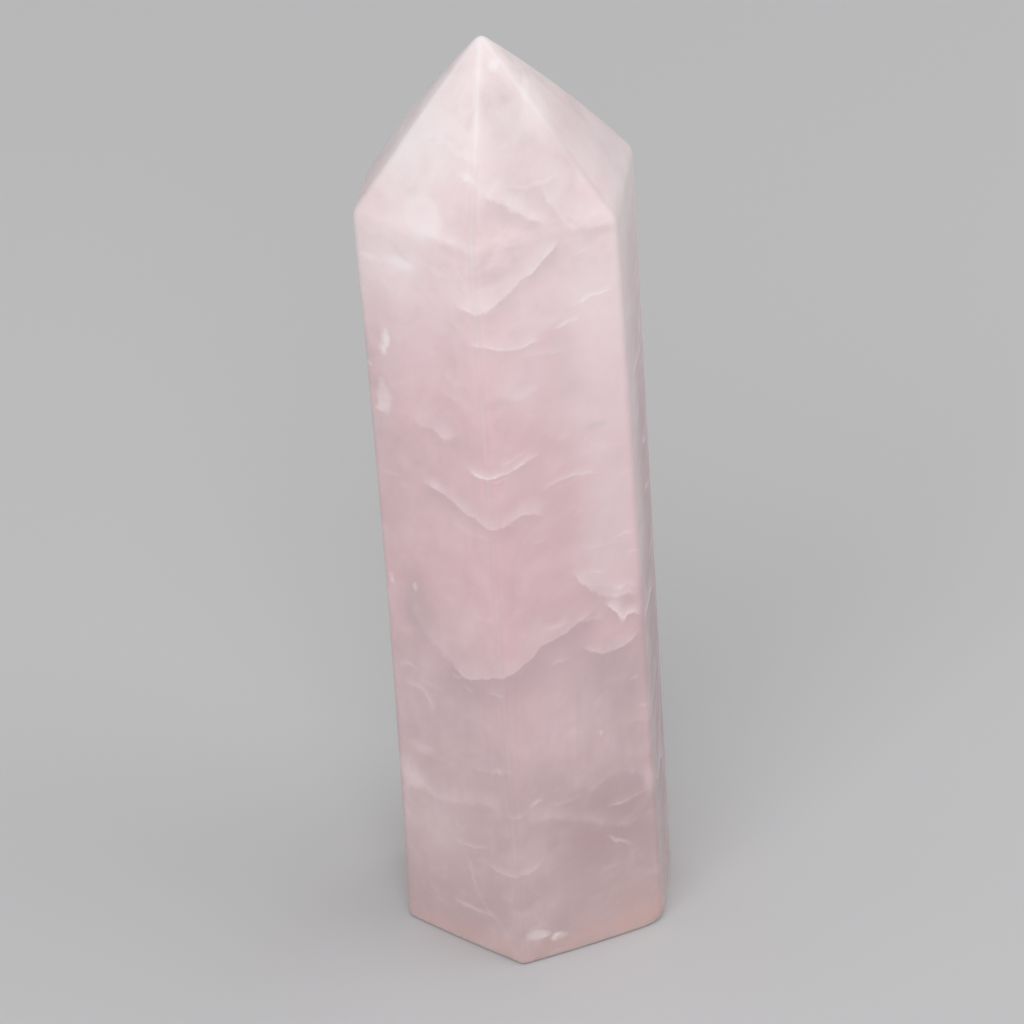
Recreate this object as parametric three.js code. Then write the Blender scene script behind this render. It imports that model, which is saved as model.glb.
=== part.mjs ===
// Rose quartz obelisk: a six-sided column under a six-facet point, ground and polished from one
// natural stone. The base was cut a little out of square, so the column leans to the left.
// Millimetres, +Z up. The origin is the middle of the flat base. +X is to the right and +Y is away
// from someone who looks at the front.
import * as THREE from 'three';

// Where the six facets would meet if the tip were sharp.
const APEX = new THREE.Vector3(-5.8, 0, 94.8);

// The six arrises, anticlockwise seen from above. Each climbs from a corner of the foot to a corner
// of the shoulder, then goes on as a ridge to the tip.
//   bodyBow and ridgeBow: how far the middle of that stretch stands out from a straight line
//   wear: how far the corner of the foot is rubbed back
//   dome: how far the middle of the next side stands out from flat, from foot to shoulder
//   facetBow: the same for the facet above that side, halfway up to the tip
const ARRISES = [
  // left
  { foot: [-13.1, -6.0], shoulder: [-17.7, -6.1, 79.4],
    bodyBow: -0.4, ridgeBow: 0.1, wear: 0.3, dome: 0.15, facetBow: 0.1 },
  // front
  { foot: [-1.7, -14.6], shoulder: [-6.6, -14.1, 79.4],
    bodyBow: 0.0, ridgeBow: 0.0, wear: 0.3, dome: 0.2, facetBow: 0.1 },
  // front right
  { foot: [12.3, -7.0], shoulder: [6.9, -7.3, 79.4],
    bodyBow: 0.0, ridgeBow: 0.0, wear: 1.1, dome: 0.05, facetBow: 0.2 },
  // back right
  { foot: [13.2, 6.0], shoulder: [8.6, 6.9, 79.4],
    bodyBow: 0.0, ridgeBow: 0.65, wear: 0.3, dome: 0.2, facetBow: 0.2 },
  // back
  { foot: [1.7, 14.6], shoulder: [-2.6, 14.6, 79.0],
    bodyBow: -0.1, ridgeBow: 0.4, wear: 0.5, dome: 0.3, facetBow: 0.3 },
  // back left
  { foot: [-12.2, 7.0], shoulder: [-16.0, 6.2, 78.0],
    bodyBow: 0.1, ridgeBow: 0.7, wear: 0.3, dome: 0.15, facetBow: 0.2 },
];
const SIDES = ARRISES.length;

// The shoulder line over each side rises this much in its middle.
const SHOULDER_ARCH = 0.5;

// How far back from each sharp edge the polish starts to round it.
const ARRIS_SETBACK = 0.55;
const SHOULDER_SETBACK = 1.0;
const TIP_SETBACK = 0.9;
const RIM_SETBACK = 0.18;

// The tip as polished is this much lower than the sharp apex.
const TIP_DROP = 0.35;

// A worn corner of the foot fades into the ordinary rim over this length.
const WEAR_LENGTH = 4;

// How finely the skin is cut: over a rounded edge, across a side, up the body and up the point.
const ROUND_STEPS = 3;
const SIDE_STEPS = 5;
const BODY_STEPS = 10;
const FACET_STEPS = 7;

const { lerp } = THREE.MathUtils;

// The arch that is 0 at both ends of a stretch and 1 in its middle.
const arch = (share) => 4 * share * (1 - share);

const along = (from, to, share) => new THREE.Vector3().lerpVectors(from, to, share);

// The point on the line from one point towards another, at a distance in millimetres.
const setBack = (from, to, distance) => along(from, to, distance / from.distanceTo(to));

// The stone's leaning centre line at a height.
const centreAt = (height) => APEX.clone().multiplyScalar(height / APEX.z);

// The level direction from the centre line out through a point.
function outward(point) {
  const direction = point.clone().sub(centreAt(point.z));
  return direction.setZ(0).normalize();
}

// The points that round an edge off, from start to end, both included.
function roundedOff(start, corner, end) {
  return new THREE.QuadraticBezierCurve3(start, corner, end).getPoints(ROUND_STEPS);
}

// The columns that climb the stone, in order round it: a few over each arris and a few across the
// side after it. turn goes from 0 to 1 over the arris, and share from 0 to 1 across the side.
function columnPlan() {
  const columns = [];
  for (let arris = 0; arris < SIDES; arris += 1) {
    for (let step = 0; step <= ROUND_STEPS; step += 1) {
      columns.push({ arris, turn: step / ROUND_STEPS, share: 0 });
    }
    for (let step = 1; step < SIDE_STEPS; step += 1) {
      columns.push({ arris, turn: 1, share: step / SIDE_STEPS });
    }
  }
  return columns;
}

// The point where a column crosses a six-cornered outline whose corners are rounded.
function crossing(corners, { arris, turn, share }) {
  const corner = corners[arris];
  const before = corners[(arris + SIDES - 1) % SIDES];
  const after = corners[(arris + 1) % SIDES];
  const start = setBack(corner, before, ARRIS_SETBACK);
  const end = setBack(corner, after, ARRIS_SETBACK);
  if (share === 0) {
    return new THREE.QuadraticBezierCurve3(start, corner, end).getPoint(turn);
  }
  return along(end, setBack(after, corner, ARRIS_SETBACK), share);
}

// A value that is set at the arrises, read between them.
function between(column, key) {
  const next = ARRISES[(column.arris + 1) % SIDES];
  return lerp(ARRISES[column.arris][key], next[key], column.share);
}

// How far the foot is rounded back at a column: the rim's own setback, and more near a worn corner.
function rimAt({ arris, share }, feet) {
  const next = (arris + 1) % SIDES;
  const sideLength = feet[arris].distanceTo(feet[next]);
  const wornBy = (wear, distance) => {
    const fade = Math.max(0, 1 - distance / WEAR_LENGTH);
    return (wear - RIM_SETBACK) * fade * fade;
  };
  const here = wornBy(ARRISES[arris].wear, sideLength * share);
  const there = wornBy(ARRISES[next].wear, sideLength * (1 - share));
  return RIM_SETBACK + here + there;
}

// One column of the skin, from the edge of the flat base to just under the tip.
function climb(column, feet, shoulders) {
  const { arris, share } = column;
  const side = ARRISES[arris];
  const foot = crossing(feet, column);
  const shoulder = crossing(shoulders, column);
  const middle = arch(share);
  foot.addScaledVector(outward(foot), side.dome * middle);
  shoulder.addScaledVector(outward(shoulder), side.dome * middle);
  shoulder.z += SHOULDER_ARCH * middle;

  const bodyBow = between(column, 'bodyBow');
  const facetBow = between(column, 'ridgeBow') + side.facetBow * middle;
  const bowed = (from, to, bow) => (height) => {
    const point = along(from, to, height);
    return point.addScaledVector(outward(shoulder), bow * arch(height));
  };
  const body = bowed(foot, shoulder, bodyBow);
  const facet = bowed(shoulder, APEX, facetBow);

  const bodyLength = foot.distanceTo(shoulder);
  const facetLength = shoulder.distanceTo(APEX);
  const rim = rimAt(column, feet);
  const bodyStart = rim / bodyLength;
  const bodyEnd = 1 - SHOULDER_SETBACK / bodyLength;
  const facetStart = SHOULDER_SETBACK / facetLength;
  const facetEnd = 1 - TIP_SETBACK / facetLength;

  const baseEdge = setBack(foot, centreAt(0), rim);
  const points = roundedOff(baseEdge, foot, body(bodyStart));
  for (let step = 1; step < BODY_STEPS; step += 1) {
    points.push(body(lerp(bodyStart, bodyEnd, step / BODY_STEPS)));
  }
  points.push(...roundedOff(body(bodyEnd), shoulder, facet(facetStart)));
  for (let step = 1; step < FACET_STEPS; step += 1) {
    points.push(facet(lerp(facetStart, facetEnd, step / FACET_STEPS)));
  }
  const tipEdge = facet(facetEnd);
  const overTip = along(tipEdge, APEX, 1 - TIP_DROP / (APEX.z - tipEdge.z));
  points.push(...roundedOff(tipEdge, overTip, tip()).slice(0, -1));
  return points;
}

// The highest point of the stone.
function tip() {
  return APEX.clone().setZ(APEX.z - TIP_DROP);
}

// The closed skin: the columns joined side by side, the tip on top and the flat base underneath.
function skin(columns) {
  const count = columns.length;
  const rows = columns[0].length;
  const positions = columns.flat().concat(tip()).flatMap((point) => point.toArray());
  const top = count * rows;
  const at = (column, row) => (column % count) * rows + row;
  const triangles = [];
  for (let column = 0; column < count; column += 1) {
    for (let row = 0; row < rows - 1; row += 1) {
      const low = at(column, row);
      const lowNext = at(column + 1, row);
      const high = at(column, row + 1);
      const highNext = at(column + 1, row + 1);
      triangles.push(low, lowNext, highNext, low, highNext, high);
    }
    triangles.push(at(column, rows - 1), at(column + 1, rows - 1), top);
  }
  const baseOutline = columns.map((points) => new THREE.Vector2(points[0].x, points[0].y));
  for (const [a, b, c] of THREE.ShapeUtils.triangulateShape(baseOutline, [])) {
    triangles.push(at(a, 0), at(c, 0), at(b, 0));
  }
  const geometry = new THREE.BufferGeometry();
  geometry.setAttribute('position', new THREE.Float32BufferAttribute(positions, 3));
  geometry.setIndex(triangles);
  geometry.computeVertexNormals();
  return geometry;
}

function roseQuartz() {
  return new THREE.MeshStandardMaterial({ color: '#dcc3c7', roughness: 0.22, metalness: 0 });
}

function obelisk() {
  const feet = ARRISES.map(({ foot: [x, y] }) => new THREE.Vector3(x, y, 0));
  const shoulders = ARRISES.map(({ shoulder }) => new THREE.Vector3(...shoulder));
  const columns = columnPlan().map((column) => climb(column, feet, shoulders));
  const mesh = new THREE.Mesh(skin(columns), roseQuartz());
  mesh.name = 'obelisk';
  return mesh;
}

const stone = new THREE.Group();
stone.add(obelisk());

export default stone;
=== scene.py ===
# %% [markdown]
# # A rose quartz obelisk
#
# The object is one natural stone: a piece of rose quartz, sawn flat at the foot, ground to six sides and
# six facets, and polished. This lesson dresses its CAD solid, which says how big the stone is and where it
# stands. It makes a finer skin with softened edges, and the milky pink inside with its clouds and healed
# fractures.

# %% Load the frame
import math

import bpy
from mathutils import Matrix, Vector


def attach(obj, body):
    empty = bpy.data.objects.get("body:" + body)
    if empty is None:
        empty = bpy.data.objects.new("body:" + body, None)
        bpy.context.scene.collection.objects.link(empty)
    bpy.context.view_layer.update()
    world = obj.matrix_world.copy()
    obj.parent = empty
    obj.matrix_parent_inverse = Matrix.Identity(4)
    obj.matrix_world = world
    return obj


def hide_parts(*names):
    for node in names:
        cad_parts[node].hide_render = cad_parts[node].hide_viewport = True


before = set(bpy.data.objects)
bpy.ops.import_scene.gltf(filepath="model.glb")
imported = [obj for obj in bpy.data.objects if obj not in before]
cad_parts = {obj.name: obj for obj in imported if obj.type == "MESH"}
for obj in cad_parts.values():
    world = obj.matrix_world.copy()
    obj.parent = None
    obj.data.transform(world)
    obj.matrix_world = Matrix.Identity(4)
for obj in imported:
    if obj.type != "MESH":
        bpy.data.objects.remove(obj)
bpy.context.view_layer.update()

MM = 0.001

# %% [markdown]
# ## The camera
#
# The photo looks down on the stone from 31 degrees above the horizon through a long lens, so the upright
# edges hardly run together. A camera could be aimed by a constraint, but a plain place and one tilt are
# easier to read. The place was worked out from the corners of the stone in the photo.

# %% Camera
CAMERA_PLACE = Vector((-2.84, -485.5, 335.0)) * MM
CAMERA_DIP = math.radians(31)
FIELD_OF_VIEW = math.radians(10)


def add_object(name, data):
    """A new object in the scene, for a mesh, a light or a camera."""
    made = bpy.data.objects.new(name, data)
    bpy.context.scene.collection.objects.link(made)
    return made


camera_data = bpy.data.cameras.new("camera")
camera_data.sensor_width = 36
camera_data.lens = camera_data.sensor_width / 2 / math.tan(FIELD_OF_VIEW / 2)
camera_data.clip_start = 0.01
camera = add_object("camera", camera_data)
camera.location = CAMERA_PLACE
camera.rotation_euler = (math.pi / 2 - CAMERA_DIP, 0, 0)
bpy.context.scene.camera = camera
print("lens, mm:", round(camera_data.lens, 1))

# %% [markdown]
# ## One small class for node trees
#
# Nodes can be added and linked one by one, but a formula gets lost that way. `Wire` wraps one output
# socket, and Python's own operators on it add the Math nodes, so `1 - mask` reads as it would on paper.
# Every other node comes from `Wire.make`, which sets the node's settings first and its sockets after.

# %% Wire
class Wire:
    """An output socket of a node tree, which arithmetic can be done on."""

    def __init__(self, socket):
        self.socket = socket
        self.tree = socket.id_data

    @staticmethod
    def make(tree, kind, settings=None, sockets=None, out=0):
        """Adds a node of that kind to the tree. Returns one of its outputs, or several if out is a list."""
        node = tree.nodes.new(kind)
        for name, value in (settings or {}).items():
            if name == "stops":
                Wire.set_stops(node.color_ramp, value)
            else:
                setattr(node, name, value)
        for name, value in (sockets or {}).items():
            if isinstance(value, Wire):
                tree.links.new(value.socket, node.inputs[name])
            else:
                node.inputs[name].default_value = value
        if isinstance(out, list):
            return [Wire(node.outputs[name]) for name in out]
        return Wire(node.outputs[out]) if node.outputs else node

    @staticmethod
    def set_stops(ramp, stops):
        """Gives a colour ramp its stops, as (place, colour)."""
        while len(ramp.elements) < len(stops):
            ramp.elements.new(1)
        for element, (place, colour) in zip(ramp.elements, stops):
            element.position = place
            element.color = (*colour, 1)

    def math(self, operation, *others):
        sockets = dict(enumerate((self, *others)))
        return Wire.make(self.tree, "ShaderNodeMath", {"operation": operation}, sockets)

    def __add__(self, other):
        return self.math("ADD", other)

    __radd__ = __add__

    def __mul__(self, other):
        return self.math("MULTIPLY", other)

    __rmul__ = __mul__

    def __sub__(self, other):
        return self.math("SUBTRACT", other)

    def __rsub__(self, other):
        return (self * -1) + other

    def __truediv__(self, other):
        return self.math("DIVIDE", other)

    def __rtruediv__(self, other):
        return self.math("POWER", -1) * other

    def __mod__(self, other):
        return self.math("FLOORED_MODULO", other)

    def smooth(self, start, end):
        """0 at start and before it, 1 at end and past it. The end may be the lower one."""
        settings = {"interpolation_type": "SMOOTHSTEP", "clamp": False}
        sockets = {"Value": self, "From Min": start, "From Max": end}
        return Wire.make(self.tree, "ShaderNodeMapRange", settings, sockets)

    def scaled(self, factor):
        """A vector times a number, which may be a wire too."""
        sockets = {0: self, "Scale": factor}
        return Wire.make(self.tree, "ShaderNodeVectorMath", {"operation": "SCALE"}, sockets)


def vector_math(operation, *vectors, out=0):
    """A Vector Math node on wires or plain vectors, the first of them a wire."""
    sockets = dict(enumerate(vectors))
    return Wire.make(vectors[0].tree, "ShaderNodeVectorMath", {"operation": operation}, sockets, out)


def parts_of(vector):
    """The three numbers of a vector."""
    return Wire.make(vector.tree, "ShaderNodeSeparateXYZ", {}, {0: vector}, ["X", "Y", "Z"])


def vector_of(tree, **parts):
    """A vector from its X, Y and Z."""
    return Wire.make(tree, "ShaderNodeCombineXYZ", {}, parts)


print("Wire is ready")

# %% [markdown]
# ## The six arrises
#
# An arris is the edge where two ground faces meet. Six of them say all there is to say about this stone:
# each climbs from a corner of the foot to a corner of the shoulder and runs on as a ridge to the tip. The
# stone could be cut from a cone or a cylinder, but the real one is uneven: the foot was sawn out of square,
# so it leans, and no two sides are as wide as each other. So the arrises are given in millimetres, with the
# same sizes as the solid, and a skin is stretched over them.

# %% The arrises
APEX = Vector((-5.8, 0, 94.8))
TIP_DROP = 0.25
ARRIS_PARTS = ("foot", "shoulder", "body_bow", "ridge_bow", "dome", "facet_bow")
ARRISES = [dict(zip(ARRIS_PARTS, parts)) for parts in (
    ((-13.1, -6.0), (-17.7, -6.1, 79.4), -0.4, 0.1, 0.15, 0.1),  # left
    ((-1.7, -14.6), (-6.6, -14.1, 79.4), 0, 0, 0.2, 0.1),  # front
    ((12.3, -7.0), (6.9, -7.3, 79.4), 0, 0, 0.05, 0.2),  # front right
    ((13.2, 6.0), (8.6, 6.9, 79.4), 0, 0.65, 0.2, 0.2),  # back right
    ((1.7, 14.6), (-2.6, 14.6, 79.0), -0.1, 0.4, 0.3, 0.3),  # back
    ((-12.2, 7.0), (-16.0, 6.2, 78.0), 0.1, 0.7, 0.15, 0.2),  # back left
)]
SHOULDER_ARCH = 0.5
SHOULDER_SETBACK = 0.7
RIM_SETBACK = 0.18
TIP_SETBACK = 0.7


def arch(share):
    """0 at both ends of a stretch and 1 in its middle. The share may be a number or a wire."""
    return 4 * share * (1 - share)


def outwards(point):
    """The level direction from the middle of the stone to a point."""
    out = point - APEX * (point.z / APEX.z)
    return Vector((out.x, out.y, 0)).normalized()


def graded(count, crowding):
    """Shares from 0 to 1, both left out, that crowd together towards the ends."""
    steps = [step / count for step in range(1, count)]
    return [step - crowding * math.sin(2 * math.pi * step) / (2 * math.pi) for step in steps]


def rounded_off(start, corner, end, count):
    """Points of a soft corner from start to end, both included."""
    shares = [step / count for step in range(count + 1)]
    return [start.lerp(corner, s).lerp(corner.lerp(end, s), s) for s in shares]


print(len(ARRISES), "arrises")

# %% [markdown]
# One rail holds the points of one arris from the middle of the base to the tip. Its rows sit close together
# where the skin bends, over the rim, the shoulder and the tip. Each row also knows how far the next side
# stands out there and how much the shoulder line lifts, because the wheel left the sides a little domed.

# %% Rails
BASE_ROWS = 20
RIM_ROWS = 4
BODY_ROWS = 190
SHOULDER_ROWS = 8
FACET_ROWS = 56
TIP_ROWS = 6
BASE_CROWDING = 2.2
BODY_CROWDING = 0.6
FACET_CROWDING = 0.6


def rail(arris):
    """Rows of (point, stand_out, lift) along one arris, in millimetres."""
    foot = Vector((*arris["foot"], 0))
    shoulder = Vector(arris["shoulder"])
    tip = APEX - Vector((0, 0, TIP_DROP))
    out = outwards(shoulder)

    def body(share):
        return foot.lerp(shoulder, share) + out * arris["body_bow"] * arch(share)

    def facet(share):
        return shoulder.lerp(APEX, share) + out * arris["ridge_bow"] * arch(share)

    body_start = RIM_SETBACK / (shoulder - foot).length
    body_end = 1 - SHOULDER_SETBACK / (shoulder - foot).length
    facet_start = SHOULDER_SETBACK / (APEX - shoulder).length
    facet_end = 1 - TIP_SETBACK / (APEX - shoulder).length
    base_edge = foot.lerp(Vector(), RIM_SETBACK / foot.length)
    tip_edge = facet(facet_end)
    over_tip = tip_edge.lerp(APEX, 1 - TIP_DROP / (APEX.z - tip_edge.z))

    rows = []
    for row in range(BASE_ROWS):
        share = 1 - (1 - row / BASE_ROWS) ** BASE_CROWDING
        rows.append((base_edge * share, arris["dome"] * share, 0))
    rows += [(point, arris["dome"], 0) for point in rounded_off(base_edge, foot, body(body_start), RIM_ROWS)]
    for step in graded(BODY_ROWS, BODY_CROWDING):
        share = body_start + (body_end - body_start) * step
        rows.append((body(share), arris["dome"], SHOULDER_ARCH * share))
    turn = rounded_off(body(body_end), shoulder, facet(facet_start), SHOULDER_ROWS)
    rows += [(point, arris["dome"], SHOULDER_ARCH) for point in turn]
    for step in graded(FACET_ROWS, FACET_CROWDING):
        share = facet_start + (facet_end - facet_start) * step
        stand_out = arris["dome"] * (1 - share) + arris["facet_bow"] * arch(share)
        rows.append((facet(share), stand_out, SHOULDER_ARCH * (1 - share)))
    rows += [(point, 0, 0) for point in rounded_off(tip_edge, over_tip, tip, TIP_ROWS)]
    return rows


rails = [rail(arris) for arris in ARRISES]
rows_each = len(rails[0])
rail_mesh = bpy.data.meshes.new("rails")
rail_mesh.from_pydata([point * MM for rows in rails for point, _, _ in rows], [], [])
for name, place in (("stand_out", 1), ("lift", 2)):
    attribute = rail_mesh.attributes.new(name, "FLOAT", "POINT")
    attribute.data.foreach_set("value", [row[place] * MM for rows in rails for row in rows])
stone_blank = add_object("stone_blank", rail_mesh)
print(len(rails), "rails of", rows_each, "rows")

# %% [markdown]
# ## Two trees
#
# Geometry Nodes make the skin, in two trees. Both open, close, and read and store attributes in the same
# way, so that is written once. Named inputs let a size be changed later, on the modifier.

# %% Helpers for the trees
def open_tree(title, inputs):
    """A new tree of Geometry Nodes, and its named inputs as wires."""
    tree = bpy.data.node_groups.new(title, "GeometryNodeTree")
    tree.interface.new_socket("Geometry", in_out="OUTPUT", socket_type="NodeSocketGeometry")
    for name, (kind, value) in inputs.items():
        socket = tree.interface.new_socket(name, in_out="INPUT", socket_type="NodeSocket" + kind)
        if value is not None:
            socket.default_value = value
    group_input = tree.nodes.new("NodeGroupInput")
    return tree, {name: Wire(group_input.outputs[name]) for name in inputs}


def close_tree(geometry, material):
    """Ends a tree: nothing in it stays an instance, and all of it gets the material."""
    tree = geometry.tree
    whole = Wire.make(tree, "GeometryNodeRealizeInstances", {}, {"Geometry": geometry})
    dressed = Wire.make(tree, "GeometryNodeSetMaterial", {}, {"Geometry": whole, "Material": material})
    Wire.make(tree, "NodeGroupOutput", {}, {"Geometry": dressed})
    print(tree.name, "has", len(tree.nodes), "nodes")


def named(tree, name, kind="FLOAT"):
    """An attribute of the mesh, by its name."""
    sockets = {"Name": name}
    return Wire.make(tree, "GeometryNodeInputNamedAttribute", {"data_type": kind}, sockets, "Attribute")


def stored(geometry, name, value, kind="FLOAT"):
    """The geometry with one more attribute on its vertices."""
    settings = {"data_type": kind, "domain": "POINT"}
    sockets = {"Geometry": geometry, "Name": name, "Value": value}
    return Wire.make(geometry.tree, "GeometryNodeStoreNamedAttribute", settings, sockets)


print("the helpers are ready")

# %% [markdown]
# ## Stretching the skin
#
# The first tree takes the rails and does the rest, because the shape follows one rule all the way round: a
# point of the skin lies between two neighbouring rails, pushed out a little in the middle of its side. Each
# vertex of a plain grid finds its row and column from its index, looks up the two rails, and goes to its
# place. The grid is then sewn shut and polished: a few blurs of the positions take the sharp arrises down,
# much as the wheel did. Chips and faint waves come last.

# %% The skin's tree
SIDE_COLUMNS = 36
SKIN_INPUTS = {
    "Rails": ("Geometry", None),
    "Rows": ("Int", rows_each),
    "Columns per side": ("Int", SIDE_COLUMNS),
    "Lean": ("Vector", tuple(APEX / APEX.z)),
    "Polish passes": ("Int", 11),
    "Worn corner": ("Vector", (12.3 * MM, -7.0 * MM, 0.0)),
    "Wear": ("Float", 0.5 * MM),
    "Wear reach": ("Float", 2.4 * MM),
    "Wave height": ("Float", 0.02 * MM),
    "Wave length": ("Float", 7 * MM),
    "Chip depth": ("Float", 0.16 * MM),
    "Chip spacing": ("Float", 2.2 * MM),
    "Seed": ("Float", 4.0),
    "Stone": ("Material", None),
}
skin, given = open_tree("stretch_and_polish", SKIN_INPUTS)
around = given["Columns per side"] * len(ARRISES) + 1
sockets = {"Vertices X": given["Rows"], "Vertices Y": around}
grid = Wire.make(skin, "GeometryNodeMeshGrid", {}, sockets, "Mesh")
index = Wire.make(skin, "GeometryNodeInputIndex")
row = (index / around).math("FLOOR")
column = index % around
print("grid of", rows_each, "rows by", SIDE_COLUMNS * len(ARRISES) + 1, "columns")

# %% Between two rails
COLUMN_CROWDING = 0.75
arris_number = (column / given["Columns per side"]).math("FLOOR") % len(ARRISES)
next_number = (arris_number + 1) % len(ARRISES)
even_share = (column % given["Columns per side"]) / given["Columns per side"]
share = even_share - (even_share * 2 * math.pi).math("SINE") * COLUMN_CROWDING / (2 * math.pi)
bulge = arch(share)


def on_rail(number, value, kind="FLOAT"):
    """A value read from a rail at this vertex's row."""
    sockets = {"Geometry": given["Rails"], "Value": value, "Index": number * given["Rows"] + row}
    return Wire.make(skin, "GeometryNodeSampleIndex", {"data_type": kind}, sockets)


place = Wire.make(skin, "GeometryNodeInputPosition")
here = on_rail(arris_number, place, "FLOAT_VECTOR")
there = on_rail(next_number, place, "FLOAT_VECTOR")
sockets = {0: share, 4: here, 5: there}
between = Wire.make(skin, "ShaderNodeMix", {"data_type": "VECTOR"}, sockets, 1)
centre = given["Lean"].scaled(parts_of(between)[2])
level = vector_math("MULTIPLY", vector_math("SUBTRACT", between, centre), (1, 1, 0))
stand_out = on_rail(arris_number, named(skin, "stand_out")) * bulge
lift = on_rail(arris_number, named(skin, "lift")) * bulge
pushed = vector_math("ADD", between, vector_math("NORMALIZE", level).scaled(stand_out))
lifted = vector_math("ADD", pushed, vector_of(skin, Z=lift))
stretched = Wire.make(skin, "GeometryNodeSetPosition", {}, {"Geometry": grid, "Position": lifted})
print("skin tree so far:", len(skin.nodes), "nodes")

# %% [markdown]
# The arrises are remembered before the grid is sewn: the chips sit on them, and so does the painted shade of
# the finish later. The distance to the nearer rail, in metres, says where they are.

# %% Sewing and polishing
ARRIS_WIDTH = 0.6 * MM
SEAM = 0.0001 * MM
side_width = vector_math("DISTANCE", here, there, out="Value")
nearness = (share.math("MINIMUM", 1 - share) * side_width).smooth(ARRIS_WIDTH, 0)
marked = stored(stretched, "arris", nearness)
facing_out = Wire.make(skin, "GeometryNodeFlipFaces", {}, {"Mesh": marked})
sewn = Wire.make(skin, "GeometryNodeMergeByDistance", {}, {"Geometry": facing_out, "Distance": SEAM})
sockets = {"Value": place, "Iterations": given["Polish passes"]}
blurred = Wire.make(skin, "GeometryNodeBlurAttribute", {"data_type": "FLOAT_VECTOR"}, sockets)
polished = Wire.make(skin, "GeometryNodeSetPosition", {}, {"Geometry": sewn, "Position": blurred})
print("marks reach", ARRIS_WIDTH / MM, "mm from an arris")

# %% Wear, waves and chips
CHIP_LUCK = (0.72, 0.9)
CHIP_SHAPE = (0.34, 0.0)
normal = Wire.make(skin, "GeometryNodeInputNormal")
to_corner = vector_math("DISTANCE", place, given["Worn corner"], out="Value")
closeness = 1 - (to_corner / given["Wear reach"]).math("MINIMUM", 1.0)
wear_and_edge_shade = closeness * closeness * given["Wear"]
sockets = {"Vector": place, "W": given["Seed"], "Scale": 1 / given["Wave length"], "Detail": 1.0}
waves = Wire.make(skin, "ShaderNodeTexNoise", {"noise_dimensions": "4D"}, sockets)
sockets = {"Vector": place, "W": given["Seed"], "Scale": 1 / given["Chip spacing"]}
cell, cell_colour = Wire.make(
    skin, "ShaderNodeTexVoronoi", {"voronoi_dimensions": "4D"}, sockets, ["Distance", "Color"]
)
lucky = parts_of(cell_colour)[0].smooth(*CHIP_LUCK)
chips = cell.smooth(*CHIP_SHAPE) * lucky * named(skin, "arris")
depth = wear_and_edge_shade + (waves - 0.5) * given["Wave height"] + chips * given["Chip depth"]
sockets = {"Geometry": polished, "Offset": normal.scaled(depth * -1)}
ground = Wire.make(skin, "GeometryNodeSetPosition", {}, sockets)
close_tree(Wire.make(skin, "GeometryNodeSetShadeSmooth", {}, {"Geometry": ground}), given["Stone"])

# %% [markdown]
# ## Shelves for the healed fractures
#
# The marks that make this stone itself are thin sheets where it once cracked and healed. A polished face
# cuts through each of them, and the cut shows as a curved line, milky above and darker below. They could be
# painted on a picture, or worked out one by one in the shader. Here they are made as what they are: small
# shelves of real mesh that pass through the face. Further on, the skin measures how far it is from the
# nearest shelf.
#
# A mark is given as a few points of (along, height) in millimetres. On the front and the back the
# first is the place across the stone, with its lean taken out, and on a side it is the depth.

# %% A point on the skin
def outline_at(height):
    """The six corners of the stone at a height."""
    corners = []
    for arris in ARRISES:
        foot = Vector((*arris["foot"], 0))
        shoulder = Vector(arris["shoulder"])
        if height < shoulder.z:
            corners.append(foot.lerp(shoulder, height / shoulder.z))
        else:
            corners.append(shoulder.lerp(APEX, (height - shoulder.z) / (APEX.z - shoulder.z)))
    return corners


# Which level direction a face runs along, and which way it looks.
FACES = {"front": (0, -1), "back": (0, 1), "right": (1, 1), "left": (1, -1)}
CORNER_GAP = 0.05


def on_skin(face, along, height):
    """The point of a face at a place along it and a height."""
    level, way = FACES[face]
    corners = outline_at(height)
    reach = [corner[level] for corner in corners]
    wanted = along + APEX[level] * height / APEX.z
    wanted = min(max(wanted, min(reach) + CORNER_GAP), max(reach) - CORNER_GAP)
    crossings = []
    for one, other in zip(corners, corners[1:] + corners[:1]):
        low, high = sorted((one, other), key=lambda corner: corner[level])
        if low[level] <= wanted < high[level]:
            crossings.append(low.lerp(high, (wanted - low[level]) / (high[level] - low[level])))
    return max(crossings, key=lambda point: way * point[1 - level])


print("the front arris at half height, mm:", [round(v, 1) for v in on_skin("front", -1.7, 47)])

# %% A curve through points drawn by hand
def through(points, step):
    """A smooth curve through the points, with a point about every step."""
    points = [Vector(point) for point in points]
    held = [points[0] * 2 - points[1]] + points + [points[-1] * 2 - points[-2]]
    curve = []
    for before, start, end, after in zip(held, held[1:], held[2:], held[3:]):
        count = max(1, round((end - start).length / step))
        for number in range(count):
            share = number / count
            bend = before * 2 - start * 5 + end * 4 - after
            twist = start * 3 - end * 3 + after - before
            curve.append(start + ((end - before) * share + bend * share ** 2 + twist * share ** 3) / 2)
    return curve + [points[-1]]


print("a curve 6 mm long has", len(through([(0, 0), (3, 1), (6, 0)], 0.4)), "points")

# %% [markdown]
# A sheet has a bright rim, a milky fill above it that fades out over `up` millimetres, and a shade below it
# that fades out over `down`. Its `edge` is how soft the cut is. The front has two lit faces and shows the
# most, so its marks are drawn from the photo, from the tip down.

# %% Sheets of the front
def mark(*line, rim=0.0, fill=0.0, up=1.0, shade=0.0, down=1.3, edge=0.16):
    """A sheet: the points of its line and the look of its mark."""
    return dict(line=line, rim=rim, fill=fill, up=up, shade=shade, down=down, edge=edge)


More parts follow.
